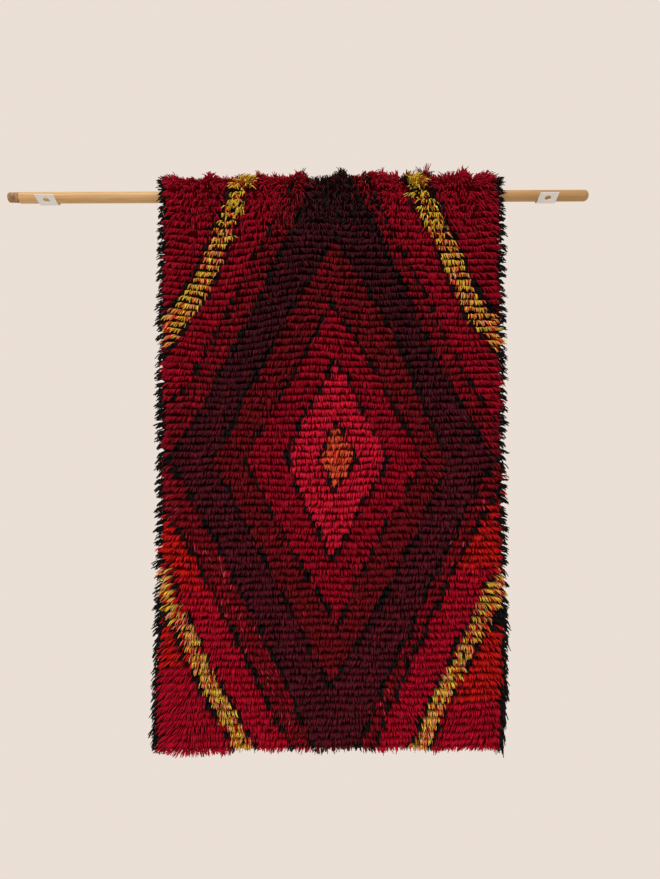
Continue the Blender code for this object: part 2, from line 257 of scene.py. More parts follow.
# Yarns of each field: name and share
YARNS_OF = {
    "orange": (("orange", 0.86), ("scarlet", 0.14)),
    "bright_red": (("bright_red", 0.93), ("crimson", 0.07)),
    "crimson": (("crimson", 1.0),),
    "dark_red": (("dark_red", 0.92), ("crimson", 0.08)),
    "plum": (("plum", 0.92), ("dark_red", 0.08)),
    "shaded_plum_top": (("plum", 0.56), ("black", 0.40), ("dark_red", 0.04)),
    "wine": (("wine", 0.72), ("plum", 0.20), ("dark_red", 0.08)),
    "dark_red_band": (("dark_red", 0.65), ("crimson", 0.35)),
    "band_with_flecks": (("dark_red", 0.66), ("crimson", 0.30), ("pink", 0.04)),
    "scarlet": (("scarlet", 0.90), ("dark_red", 0.10)),
    "crimson_field": (("crimson", 1.0),),
    "lit_crimson": (("lit_crimson", 1.0),),
    "gold_top": (("gold", 0.72), ("scarlet", 0.22), ("black", 0.06)),
    "gold": (("gold", 0.46), ("salmon", 0.18), ("orange", 0.08), ("scarlet", 0.22), ("black", 0.06)),
    "gold_low": (("gold", 0.41), ("salmon", 0.28), ("scarlet", 0.27), ("black", 0.04)),
    "black": (("black", 1.0),),
}


def yarn_of(field, level):
    """The yarn of one strand of a knot of that field."""
    if field == "scarlet" and level > -880 and draw.random() < (-775 - level) / 90:
        field = "crimson_field"
    if field == "crimson_field" and -900 < level < -770 and draw.random() < 0.10:
        return "scarlet"
    # Painted light: lower down, more crimson strands take a lighter copy of crimson.
    if field == "crimson_field" and draw.random() < (-360 - level) / 200:
        field = "lit_crimson"
    # Painted shade: near the top, black strands are mixed into the plum.
    if field == "plum" and level > DARK_TOP:
        field = "shaded_plum_top"
    elif field == "plum" and draw.random() < (-330 - level) / 260:
        field = "wine"
    if field == "gold" and level > DARK_TOP:
        field = "gold_top"
    elif field == "gold" and level < LOW_BANDS:
        field = "gold_low"
    if field == "dark_red_band" and level < LOW_BANDS:
        field = "band_with_flecks"
    names, shares = zip(*YARNS_OF[field])
    return names[draw.choice(len(names), p=shares)]


def bumps(x, table):
    """Sum of soft bumps at x."""
    return sum(rise * np.exp(-((x - centre) / half) ** 2) for centre, rise, half in table)


def lump(x, run):
    """Unevenness of the pile's height."""
    broad = 0.45 * np.sin(math.tau * (x / 0.21 + run / 0.37))
    middle = 0.35 * np.sin(math.tau * (x / 0.093 - run / 0.16 + 0.3))
    return broad + middle + 0.20 * np.sin(math.tau * (x / 0.31 + run / 0.058))


def wave(x, run):
    """How far a row strays up or down along its length; in the upper left the rows climb to the middle."""
    slow = 0.60 * np.sin(math.tau * (x / 0.29 + run / 0.55))
    middle = 0.30 * np.sin(math.tau * (x / 0.115 - run / 0.24))
    fine = 0.30 * np.sin(math.tau * (x / 0.047 + run / 0.021))
    climb = np.exp(-((x + 0.05) / 0.08) ** 2) - np.exp(-((x + 0.24) / 0.08) ** 2)
    share = min(1.0, max(0.0, -run / 0.10)) * min(1.0, max(0.0, (0.46 + run) / 0.20))
    return ROW_WAVE * (slow + middle + fine) + ROW_TILT * climb * share


def stray(x, run):
    """The same, smaller close to the pole."""
    return wave(x, run) * math.sqrt(min(1.0, max(0.0, -run) / 0.05))


def bottom_shift(x, run):
    """How far the last rows lie lower, or higher right of the corner, than their even places."""
    lift = BOTTOM_LIFT * min(1.0, max(0.0, (x + 0.28) / 0.12))
    return (lift - bumps(x, BOTTOM_DROPS)) * math.exp(-(run + 1.150) / 0.035)


def row_run(row):
    """Where a row is knotted, measured up the ground from the pole's level and then round the pole."""
    if row < HUNG_ROWS:
        return (row - HUNG_ROWS) * ROW_PITCH + ROOT_ABOVE_TIPS
    return math.radians(ARC_ROWS[row - HUNG_ROWS]) * PILE_ROOT_RADIUS


def row_level(row):
    """The pattern's level that shows at a row, in mm."""
    if row < HUNG_ROWS:
        return (row - HUNG_ROWS) * ROW_PITCH / MM + 5
    return 8 + 12 * (row - HUNG_ROWS)


def lie(x, run):
    """How far the pile leans sideways in each place, between about -1 and 1."""
    slow = 0.6 * math.sin(math.tau * (x / 0.33 - run / 0.41 + 0.2))
    return slow + 0.4 * math.sin(math.tau * (x / 0.12 + run / 0.19 + 0.6))


def frame_at(run):
    """Root, outward and downward directions of the pile at a run, as (y, z) pairs with x left at nought."""
    angle = max(0.0, run) / PILE_ROOT_RADIUS
    out = np.array((0.0, -math.cos(angle), math.sin(angle)))
    down = np.array((0.0, -math.sin(angle), -math.cos(angle)))
    return out * (PILE_ROOT_RADIUS - 0.0005) + np.array((0.0, 0.0, min(run, 0.0))), out, down


def tie_pile(layout):
    """Every strand of the pile: its yarn, the points of its line, its radius and its shade."""
    yarns, lines, radii, shades = [], [], [], []
    sideways = np.array((1.0, 0.0, 0.0))
    for row, fields in enumerate(layout):
        hung = row < HUNG_ROWS
        root_run, level = row_run(row), row_level(row)
        looseness = min(1.0, max(0.0, (row - FIRST_LOOSE_ROW) / (HUNG_ROWS - FIRST_LOOSE_ROW))) ** 0.7
        over = 0.0 if hung else (row - HUNG_ROWS + 1) / len(ARC_ROWS)
        row_lean = draw.normal(0, 0.6) * MM
        row_shift = draw.uniform(-0.5, 0.5) * KNOT_PITCH
        rim_lean = {side: draw.uniform(21, 28) * MM for side in (-1, 1)}
        rim_drop = {side: draw.uniform(5, 11) * MM for side in (-1, 1)}
        low_flare = min(1.0, max(0.0, (-root_run - 0.76) / 0.30))
        right_trim = -sum(trim * min(1.0, max(0.0, (-root_run - run) / 0.10)) for run, trim in RIGHT_TRIMS)
        row_phase = draw.uniform(0, math.tau)
        lowness = min(1.0, max(0.0, (-root_run - 0.45) / 0.55))
        for knot, field in enumerate(fields):
            edge = min(knot, KNOTS - 1 - knot)
            x = (knot - (KNOTS - 1) / 2) * KNOT_PITCH
            side = -1 if x < 0 else 1
            if edge > 2:
                x += row_shift + draw.normal(0, 0.25) * MM
            if hung:
                run = root_run + stray(x, root_run) + bottom_shift(x, root_run) + draw.normal(0, 0.35) * MM
            else:
                run = root_run + draw.normal(0, 0.9) * MM
            fan = max(0.0, 1 - edge / FAN_KNOTS) ** 1.4
            loose = looseness
            flare = max(0.0, 1 - max(0, edge - 3) / 13) * LEFT_FLARE * low_flare
            if side > 0:
                flare = max(0.0, 1 - edge / 30) * right_trim
            knot_reach = REACH + LUMP_HEIGHT * lump(x, run) + draw.normal(0, 0.6) * MM
            knot_drop = DROP + (LOW_DROP - DROP) * lowness + draw.normal(0, 0.6) * MM
            patch = math.sin(math.tau * x / 0.11 + row_phase)
            patch += math.sin(math.tau * x / 0.047 + 2.3 * row_phase)
            knot_drop += 3.2 * MM * max(0.0, patch - 0.5) - 1.2 * MM * max(0.0, -patch - 0.5)
            knot_lean = row_lean + draw.normal(0, 0.5) * MM + LEAN * lie(x, run)
            knot_lean += loose * (draw.normal(0, 5.0) + 6.0 * math.sin(math.tau * (x / 0.09 + row / 9))) * MM
            knot_reach += loose * draw.normal(0.5, 1.6) * MM
            knot_drop += loose * draw.normal(1.0, 3.5) * MM
            if not hung:
                tuft = 0.9 * float(bumps(x, TOP_TUFTS)) + abs(draw.normal(0, 1.2)) * MM
                knot_reach += over * over * tuft
                knot_drop = draw.normal(20.0 - 19.0 * over, 2.0 + 3.5 * over) * MM
                loose = 1.0 - 0.3 * over
            knot_lean = knot_lean * (1 - 0.5 * fan) + side * (fan * EDGE_FAN + flare)
            knot_drop *= 1 - 0.30 * fan * (1 - low_flare)
            if side < 0:
                knot_drop += 5.0 * MM * low_flare * max(0.0, 1 - edge / 36)
            ragged = draw.normal(0, 1.5) * MM
            if row < 2 and edge < 9 and side < 0:
                knot_drop *= 0.45 + 0.06 * edge
                run += 0.7 * MM * (9 - edge)
            shade = draw.normal(0, 1)
            strands = STRANDS + (6, 4, 2, 1, 1, 0)[min(edge, 5)]
            strands += 3 if row == 0 else 2 if row > HUNG_ROWS else 0
            for strand in range(strands):
                spread = (strand - (strands - 1) / 2) * KNOT_PITCH / strands
                reach = knot_reach + draw.normal(0, 1.5) * MM
                drop = knot_drop + draw.normal(0, 1.7 + 2.4 * loose) * MM
                lean = knot_lean + draw.normal(0, 2.3 + 3.0 * loose) * MM
                radius = STRAND_RADIUS * draw.uniform(0.88, 1.14)
                climb = loose * draw.normal(0, 2.5) * MM
                if draw.random() < 0.16 - 0.10 * lowness:
                    drop += draw.uniform(1.0, 4.5) * MM
                    lean += draw.normal(0, 4.0) * MM
                if row == 0:
                    drop += draw.normal(0.6, 0.9) * MM + ragged
                    reach *= draw.uniform(0.45, 1.0)
                if edge < 3:
                    climb = draw.uniform(-6.5, 5.5) * MM
                    share = draw.uniform(0.70, 1.03) - 0.06 * edge
                    if field != "black":
                        share *= 0.86
                    lean = side * (rim_lean[side] * (1 - 0.2 * low_flare) * share + flare)
                    drop = (rim_drop[side] + 13 * MM * low_flare) * draw.uniform(0.5, 1.4) + 0.5 * climb
                    reach *= draw.uniform(0.45, 0.95)
                    radius *= 1.35 if field == "black" else 1.15
                    if row < 2:
                        drop *= draw.uniform(0.4, 1.0) * (0.65 if side < 0 else 1.0)
                        lean *= draw.uniform(0.3, 0.8)
                root, out, down = frame_at(run + climb)
                start = root + sideways * (x + spread + draw.normal(0, 0.25) * MM)
                curl = draw.normal(0, 0.9) * MM
                early = 0.45 + 0.33 * min(1.0, 1.5 * fan)
                first = start + out * 0.45 * reach - down * RISE
                first = first + sideways * (0.4 * early * early * lean + curl)
                second = start + out * 1.06 * reach + down * 0.14 * drop
                second = second + sideways * (early * lean - curl)
                last = start + out * 0.95 * reach + down * drop + sideways * lean
                lines.append((start, first, second, last))
                radii.append(radius)
                shades.append(0.4 * shade + 0.8 * draw.normal(0, 1))
                yarns.append(yarn_of(field, level))
    lines = np.array(lines)
    lines[..., 0] += RUG_CENTRE_X
    lines[..., 1] = np.minimum(lines[..., 1] + POLE_AXIS_Y, -0.003)
    return np.array(yarns), lines, np.array(radii), np.array(shades)


def field_colour(field):
    """Mean yarn colour of a field, as light."""
    total = np.zeros(3)
    for yarn, share in YARNS_OF[field]:
        total += share * np.array(to_linear(*YARN_COLOURS[yarn]))
    # Gold is cut to 0.15 here as painted shade for the foot deep in the pile.
    return total * (0.15 if field == "gold" else 1.0)


def pile_bed(layout):
    """The dense foot of the pile: one closed, ridged sheet of wool that the strands stand out of, darkened as
    painted shade.
    """
    half = (KNOTS - 1) / 2
    lines, heights, colours = [], [], []
    for row, fields in enumerate(layout):
        run = row_run(row)
        before = row_run(row - 1) if row else run - ROW_PITCH
        after = row_run(row + 1) if row + 1 < len(layout) else run + 0.006
        tone = [field_colour(field) for field in fields]
        lines += [run - (0.36 if row else 0.14) * (run - before), run + 0.15 * (after - run)]
        heights += [BED_CREST, BED_GROOVE]
        colours += [tone, tone]
    lines.insert(0, lines[0] - 0.001)
    heights.insert(0, BED_GROOVE)
    colours.insert(0, colours[0])
    spots = []
    for index, (run, height) in enumerate(zip(lines, heights)):
        for knot in range(KNOTS):
            x = (knot - half) * KNOT_PITCH
            place = run
            if run < 0:
                place += stray(x, run) + 0.7 * bottom_shift(x, run)
            root, out, down = frame_at(place)
            rise = height + 0.5 * LUMP_HEIGHT * lump(x, place)
            turn = (half - abs(knot - half)) / 4
            if turn < 1:
                bulge = FOOT_BULGE * (1.0 if index % 2 else 0.55)
                if x < 0:
                    bulge += 0.009 * min(1.0, max(0.0, (-run - 0.80) / 0.30))
                else:
                    bulge -= 0.011 * min(1.0, max(0.0, (-run - 1.04) / 0.10))
                x = math.copysign(FOOT_SHOULDER + bulge * math.cos(turn * math.pi / 2), x)
                rise = 0.002 + (rise - 0.002) * math.sin(turn * math.pi / 2)
            else:
                x *= FOOT_SHOULDER / ((half - 4) * KNOT_PITCH)
            spots.append(root + out * rise + np.array((x, 0, 0)))
    tall = len(lines)
    faces = []
    for index in range(tall - 1):
        for knot in range(KNOTS - 1):
            low, high = index * KNOTS + knot, (index + 1) * KNOTS + knot
            faces.append((low, low + 1, high + 1, high))
    first = len(spots)
    for index, run in enumerate(lines):
        for side in (-1, 1):
            root, out, down = frame_at(run)
            spots.append(root + out * 0.0006 + np.array((side * (GROUND_WIDTH / 2 - 0.001), 0, 0)))
    for index in range(tall - 1):
        left, right = first + 2 * index, first + 2 * index + 1
        faces.append((left, left + 2, right + 2, right))
        faces.append((left, index * KNOTS, (index + 1) * KNOTS, left + 2))
        faces.append((right, right + 2, (index + 2) * KNOTS - 1, (index + 1) * KNOTS - 1))
    bottom = list(range(KNOTS))
    faces.append((first, first + 1, *reversed(bottom)))
    top = list(range((tall - 1) * KNOTS, tall * KNOTS))
    faces.append((first + 2 * tall - 1, first + 2 * tall - 2, *top))
    spots = np.array(spots)
    spots[:, 0] += RUG_CENTRE_X
    spots[:, 1] += POLE_AXIS_Y
    mesh = bpy.data.meshes.new("pile_foot")
    mesh.from_pydata([tuple(spot) for spot in spots], [], faces)
    mesh.update()
    tones = np.zeros((len(spots), 4), np.float32)
    tones[:, 3] = 1
    tones[:first, :3] = np.array(colours).reshape(-1, 3)
    tones[first:, :3] = np.array(to_linear(*YARN_COLOURS["dark_red"]))
    tint = mesh.attributes.new("yarn", "FLOAT_COLOR", "POINT")
    tint.data.foreach_set("color", tones.ravel())
    mesh.shade_smooth()
    mesh.materials.append(shaded_foot_wool())
    piece = bpy.data.objects.new("pile_foot", mesh)
    bpy.context.scene.collection.objects.link(piece)
    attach(piece, "root")
    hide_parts("pile")


RING_PLACES = np.array((0.0, 0.36, 0.70, 1.0))
RING_SIZES = np.array((0.75, 1.0, 1.05, 0.62))
SIDES = 3


def strand_points(curves):
    """Points along each cubic curve, one for each ring."""
    t = RING_PLACES[None, :, None]
    p0, p1, p2, p3 = (curves[:, index, None, :] for index in range(4))
    return (1 - t) ** 3 * p0 + 3 * (1 - t) ** 2 * t * p1 + 3 * (1 - t) * t * t * p2 + t ** 3 * p3


def strands_piece(name, curves, radii, shades, material):
    """Many strands of one yarn as one mesh: each strand is closed, with three sides."""
    points = strand_points(curves)
    count, rings = points.shape[:2]
    along = np.gradient(points, axis=1)
    along /= np.linalg.norm(along, axis=2, keepdims=True)
    across = np.array((1.0, 0.0, 0.0)) - along * along[..., :1]
    across /= np.linalg.norm(across, axis=2, keepdims=True)
    third = np.cross(along, across)
    spin = (np.arange(count) * 2.399)[:, None, None, None]
    turn = spin + np.arange(SIDES)[None, None, :, None] * math.tau / SIDES
    size = (radii[:, None] * RING_SIZES[None, :])[..., None, None]
    ring = points[:, :, None, :] + size * (
        np.cos(turn) * across[:, :, None, :] + np.sin(turn) * third[:, :, None, :]
    )
    verts = ring.reshape(-1, 3)
    per = rings * SIDES
    quads, ends = [], []
    for level in range(rings - 1):
        for side in range(SIDES):
            after = (side + 1) % SIDES
            low, high = level * SIDES, (level + 1) * SIDES
            quads.append((low + side, low + after, high + after, high + side))
    ends.append((0, 2, 1))
    last = (rings - 1) * SIDES
    ends.append((last, last + 1, last + 2))
    offsets = np.arange(count)[:, None, None] * per
    quad_loops = (np.array(quads)[None] + offsets).reshape(-1)
    end_loops = (np.array(ends)[None] + offsets).reshape(-1)
    loops = np.concatenate((quad_loops, end_loops)).astype(np.int32)
    quad_count, end_count = count * len(quads), count * len(ends)
    starts = np.concatenate((
        np.arange(quad_count) * 4,
        quad_count * 4 + np.arange(end_count) * 3,
    )).astype(np.int32)
    mesh = bpy.data.meshes.new(name)
    mesh.vertices.add(len(verts))
    mesh.vertices.foreach_set("co", verts.astype(np.float32).ravel())
    mesh.loops.add(len(loops))
    mesh.loops.foreach_set("vertex_index", loops)
    mesh.polygons.add(len(starts))
    mesh.polygons.foreach_set("loop_start", starts)
    mesh.update(calc_edges=True)
    mesh.shade_smooth()
    tone = mesh.attributes.new("shade", "FLOAT", "POINT")
    tone.data.foreach_set("value", np.repeat(shades, per).astype(np.float32))
    place = mesh.attributes.new("along", "FLOAT", "POINT")
    place.data.foreach_set("value", np.tile(np.repeat(RING_PLACES, SIDES), count).astype(np.float32))
    mesh.materials.append(material)
    piece = bpy.data.objects.new(name, mesh)
    bpy.context.scene.collection.objects.link(piece)
    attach(piece, "root")
    return piece


def new_finish(name, roughness):
    """A Principled material, its shader and its node tree."""
    material = bpy.data.materials.new(name)
    material.use_nodes = True
    tree = material.node_tree
    shader = tree.nodes["Principled BSDF"]
    shader.inputs["Roughness"].default_value = roughness
    return material, tree, shader


def object_place(tree, scale):
    """Object coordinates, stretched."""
    source = tree.nodes.new("ShaderNodeTexCoord")
    mapping = tree.nodes.new("ShaderNodeMapping")
    mapping.inputs["Scale"].default_value = scale
    tree.links.new(source.outputs["Object"], mapping.inputs["Vector"])
    return mapping.outputs["Vector"]


def noise(tree, place, scale, detail=3.0, roughness=0.5):
    made = tree.nodes.new("ShaderNodeTexNoise")
    made.inputs["Scale"].default_value = scale
    made.inputs["Detail"].default_value = detail
    made.inputs["Roughness"].default_value = roughness
    tree.links.new(place, made.inputs["Vector"])
    return made.outputs["Fac"]


def blend_colours(tree, share, first, second, way="MIX"):
    """Mix of two colours or sockets."""
    made = tree.nodes.new("ShaderNodeMix")
    made.data_type = "RGBA"
    made.blend_type = way
    inputs = [made.inputs[0], made.inputs[6], made.inputs[7]]
    for socket, value in zip(inputs, (share, first, second)):
        if isinstance(value, bpy.types.NodeSocket):
            tree.links.new(value, socket)
        elif isinstance(value, (int, float)):
            socket.default_value = value
        else:
            socket.default_value = (*value, 1.0)
    return made.outputs[2]


def between(tree, value, low, high, to_low=0.0, to_high=1.0):
    """Map a value from one range to another, held at the ends."""
    made = tree.nodes.new("ShaderNodeMapRange")
    for index, number in enumerate((low, high, to_low, to_high), 1):
        made.inputs[index].default_value = number
    tree.links.new(value, made.inputs[0])
    return made.outputs[0]


def relief(tree, shader, height, strength, distance):
    made = tree.nodes.new("ShaderNodeBump")
    made.inputs["Strength"].default_value = strength
    made.inputs["Distance"].default_value = distance
    tree.links.new(height, made.inputs["Height"])
    tree.links.new(made.outputs["Normal"], shader.inputs["Normal"])


def wool(name, colour):
    """Matt wool yarn: each strand has its own shade, and the plies show as fine flecks."""
    material, tree, shader = new_finish(name, 0.95)
    shader.inputs["Specular IOR Level"].default_value = 0.15
    dark = tuple(0.62 * part for part in colour)
    light = tuple(min(1.0, 1.32 * part + 0.004) for part in colour)
    attribute = tree.nodes.new("ShaderNodeAttribute")
    attribute.attribute_name = "shade"
    tone = between(tree, attribute.outputs["Fac"], -1.8, 1.8)
    base = blend_colours(tree, tone, dark, light)
    place = object_place(tree, (1, 1, 0.45))
    flecks = noise(tree, place, 950, 2.0, 0.6)
    fleck_share = between(tree, flecks, 0.35, 0.65, 0.0, 0.45)
    colour_now = blend_colours(tree, fleck_share, base, dark)
    tree.links.new(colour_now, shader.inputs["Base Color"])
    relief(tree, shader, flecks, 0.6, 0.0006)
    return material


def shaded_foot_wool():
    """The foot of the pile in each field's own colour, mostly blackened as painted shade deep in the pile."""
    material, tree, shader = new_finish("wool_foot_painted_shade", 1.0)
    shader.inputs["Specular IOR Level"].default_value = 0.0
    attribute = tree.nodes.new("ShaderNodeAttribute")
    attribute.attribute_name = "yarn"
    flecks = noise(tree, object_place(tree, (1, 1, 0.5)), 800, 2.0, 0.6)
    # Painted shade: the field colour is mixed 70 to 90 percent with black.
    painted_shade = between(tree, flecks, 0.3, 0.7, 0.70, 0.90)
    shaded_colour = blend_colours(tree, painted_shade, attribute.outputs["Color"], (0, 0, 0))
    tree.links.new(shaded_colour, shader.inputs["Base Color"])
    relief(tree, shader, flecks, 0.6, 0.0010)
    return material


def to_linear(red, green, blue):
    """Screen colour, 0 to 255, as light."""
    return tuple(
        part / 255 / 12.92 if part / 255 <= 0.04045 else ((part / 255 + 0.055) / 1.055) ** 2.4
        for part in (red, green, blue)
    )


YARN_COLOURS = {
    "crimson": (164, 0, 34),
    # lit_crimson is crimson lightened as painted light.
    "lit_crimson": (184, 0, 40),
    "bright_red": (218, 22, 56),
    "dark_red": (118, 10, 24),
    "plum": (70, 16, 29),
    "wine": (96, 18, 36),
    "black": (18, 17, 17),
    "orange": (240, 90, 56),
    "scarlet": (210, 22, 18),
    "gold": (244, 202, 66),
    "salmon": (250, 146, 112),
    "pink": (206, 70, 88),
}


def add_pile():
    """The pile, one piece or more to each yarn."""
    layout = [lay_out_row(row) for row in range(ROWS)]
    pile_bed(layout)
    yarns, curves, radii, shades = tie_pile(layout)
    finishes = {name: wool("wool_" + name, to_linear(*tone)) for name, tone in YARN_COLOURS.items()}
    most = 9800
    for name, material in finishes.items():
        chosen = np.flatnonzero(yarns == name)
        parts = max(1, math.ceil(len(chosen) / most))
        for index, group in enumerate(np.array_split(chosen, parts)):
            label = f"{name}_pile" if parts == 1 else f"{name}_pile_{index + 1}"
            piece = strands_piece(label, curves[group], radii[group], shades[group], material)
            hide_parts("pile")


def ground_line():
    """Middle of the cloth seen from the side: (y, z) from the hem up, over the pole and down its back."""
    middle = POCKET_RADIUS + GROUND_THICKNESS / 2
    line = [(-middle, GROUND_BOTTOM + step) for step in (0, 0.004, 0.012)]
    steps = 56
    low = GROUND_BOTTOM + 0.024
    line += [(-middle, low * (1 - step / steps)) for step in range(steps)]
    leave = 2 * math.pi - 2 * math.atan2(SEAM_BELOW_AXIS, POCKET_RADIUS)
    for step in range(25):
        angle = leave * step / 24
        line.append((-middle * math.cos(angle), middle * math.sin(angle)))
    turning = -POCKET_RADIUS + GROUND_THICKNESS / 2 + 0.0001
    start = line[-1]
    end = (turning + 0.0012, -SEAM_BELOW_AXIS + 0.0012)
    for step in range(1, 6):
        share = step / 6
        line.append((start[0] + share * (end[0] - start[0]), start[1] + share * (end[1] - start[1])))
    line += [end, (turning + 0.0003, end[1] - 0.0022), (turning, end[1] - 0.0045)]
    line += [(turning, -0.043), (turning, -0.0465), (turning, -TURNING_BELOW_AXIS)]
    return line


def ground_cloth():
    """Taupe ribbed weave: warp ribs down the cloth, weft beaten close across them.

    A faint line shows at each knotted row.
    """
    material, tree, shader = new_finish("ribbed_ground_weave", 0.92)
    shader.inputs["Specular IOR Level"].default_value = 0.2
    place = tree.nodes.new("ShaderNodeTexCoord").outputs["Object"]
    split = tree.nodes.new("ShaderNodeSeparateXYZ")
    tree.links.new(place, split.inputs[0])

    def ridge(source, pitch, phase=0.0):
        scaled = tree.nodes.new("ShaderNodeMath")
        scaled.operation = "MULTIPLY_ADD"
        scaled.inputs[1].default_value = math.tau / pitch
        scaled.inputs[2].default_value = phase
        tree.links.new(source, scaled.inputs[0])
        sine = tree.nodes.new("ShaderNodeMath")
        sine.operation = "SINE"
        tree.links.new(scaled.outputs[0], sine.inputs[0])
        return sine.outputs[0]

    ribs = between(tree, ridge(split.outputs[0], 0.0044), -1, 1)
    picks = between(tree, ridge(split.outputs[2], 0.0018), -1, 1)
    rows = between(tree, ridge(split.outputs[2], ROW_PITCH), 0.80, 1.0)
    uneven = noise(tree, object_place(tree, (1, 1, 1)), 60, 4.0, 0.6)
    fibre = noise(tree, object_place(tree, (1, 1, 3)), 900, 2.0, 0.6)
    base = blend_colours(tree, uneven, to_linear(132, 116, 94), to_linear(176, 158, 132))
    base = blend_colours(tree, between(tree, fibre, 0.35, 0.7, 0.0, 0.5), base, to_linear(112, 96, 76))
    base = blend_colours(tree, between(tree, rows, 0, 1, 0, 0.45), base, to_linear(92, 30, 34))
    shadow = tree.nodes.new("ShaderNodeMath")
    shadow.operation = "MULTIPLY"
    tree.links.new(ribs, shadow.inputs[0])
    tree.links.new(picks, shadow.inputs[1])
    # Painted shade: the hollows between warp ribs and weft picks are darkened.
    hollow_shade = between(tree, shadow.outputs[0], 0.0, 0.5, 0.5, 0.0)
    base = blend_colours(tree, hollow_shade, base, to_linear(88, 74, 58))
    tree.links.new(base, shader.inputs["Base Color"])
    total = tree.nodes.new("ShaderNodeMath")
    total.operation = "ADD"
    tree.links.new(shadow.outputs[0], total.inputs[0])
    tree.links.new(rows, total.inputs[1])
    relief(tree, shader, total.outputs[0], 0.8, 0.0007)
    return material


def add_seam_and_warp_ends():
    """Whip stitches that hold the turned-over top to the back, and loose warp ends at the hem."""
    face = POLE_AXIS_Y - POCKET_RADIUS + GROUND_THICKNESS + 0.0001
    back = POLE_AXIS_Y - POCKET_RADIUS
    low = -TURNING_BELOW_AXIS
    stitches = []
    for x in np.arange(-GROUND_WIDTH / 2 + 0.006, GROUND_WIDTH / 2 - 0.004, 0.0068):
        x += RUG_CENTRE_X + draw.normal(0, 0.4) * MM
        slant = draw.normal(2.6, 0.4) * MM
        stitches.append((
            (x, face - 0.0004, low + 0.0050), (x + 0.3 * slant, face + 0.0016, low + 0.0034),
            (x + 0.8 * slant, face + 0.0010, low - 0.0016), (x + slant, back - 0.0004, low - 0.0036),
        ))
    ends = []
    for middle, spread, count in WARP_ENDS:
        for _ in range(count):
            aside = middle + draw.normal(0, spread)
            if abs(aside) > GROUND_WIDTH / 2 - 0.008:
                continue
            x = RUG_CENTRE_X + aside
            y = POLE_AXIS_Y - POCKET_RADIUS - GROUND_THICKNESS / 2 + draw.normal(0, 0.3) * MM
            z = GROUND_BOTTOM + 0.0012
            long = draw.uniform(3.5, 9.0) * MM
            sway = draw.normal(0, 2.4) * MM
            ends.append((
                (x, y, z), (x + 0.2 * sway, y - 0.0006, z - 0.4 * long),
                (x + 0.5 * sway, y - 0.0016, z - 0.8 * long), (x + sway, y - 0.0022, z - long),
            ))
    for name, curves, radius, tone in (
        ("seam_stitches", stitches, 0.00055, (150, 128, 100)),
        ("warp_ends", ends, 0.00050, (196, 170, 130)),
    ):
        curves = np.array(curves)
        radii = radius * draw.uniform(0.85, 1.15, len(curves))
        shades = draw.normal(0, 1, len(curves))
        piece = strands_piece(name, curves, radii, shades, wool(name, to_linear(*tone)))
        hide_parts("ground_weave")


def add_ground():
    """The cloth as one sheet, drawn from its hem up and over the pole."""
    line = ground_line()
    bpy.ops.object.select_all(action="DESELECT")
    first, second = line[0], line[1]
    middle = (RUG_CENTRE_X, POLE_AXIS_Y + first[0], (first[1] + second[1]) / 2)
    bpy.ops.mesh.primitive_plane_add(size=1, location=middle)
    cloth = bpy.context.active_object
    cloth.name = "woven_ground"
    cloth.scale = (GROUND_WIDTH, second[1] - first[1], 1)
    cloth.rotation_euler = (math.pi / 2, 0, 0)
    bpy.ops.object.transform_apply(location=True, rotation=True, scale=True)
    bpy.ops.object.mode_set(mode="EDIT")
    bpy.ops.mesh.select_mode(type="EDGE")
    bpy.ops.mesh.select_all(action="DESELECT")
    bpy.ops.object.mode_set(mode="OBJECT")
    for edge in cloth.data.edges:
        ends = [cloth.data.vertices[index].co.z for index in edge.vertices]
        edge.select = min(ends) > (first[1] + second[1]) / 2
    bpy.ops.object.mode_set(mode="EDIT")
    for before, after in zip(line[1:], line[2:]):
        step = (0, after[0] - before[0], after[1] - before[1])
        bpy.ops.mesh.extrude_region_move(TRANSFORM_OT_translate={"value": step})
    bpy.ops.object.mode_set(mode="OBJECT")
    thick = cloth.modifiers.new("thickness", "SOLIDIFY")
    thick.thickness = GROUND_THICKNESS
    thick.offset = 0
    thick.use_even_offset = True
    edge = cloth.modifiers.new("soft_edges", "BEVEL")
    edge.width = 0.0009
    edge.segments = 2
    edge.limit_method = "ANGLE"
    edge.angle_limit = math.radians(60)
    for modifier in ("thickness", "soft_edges"):
        bpy.ops.object.modifier_apply(modifier=modifier)
    bpy.ops.object.shade_smooth_by_angle(angle=math.radians(40))
    cloth.data.materials.append(ground_cloth())
    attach(cloth, "root")
    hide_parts("ground_weave")
    return cloth


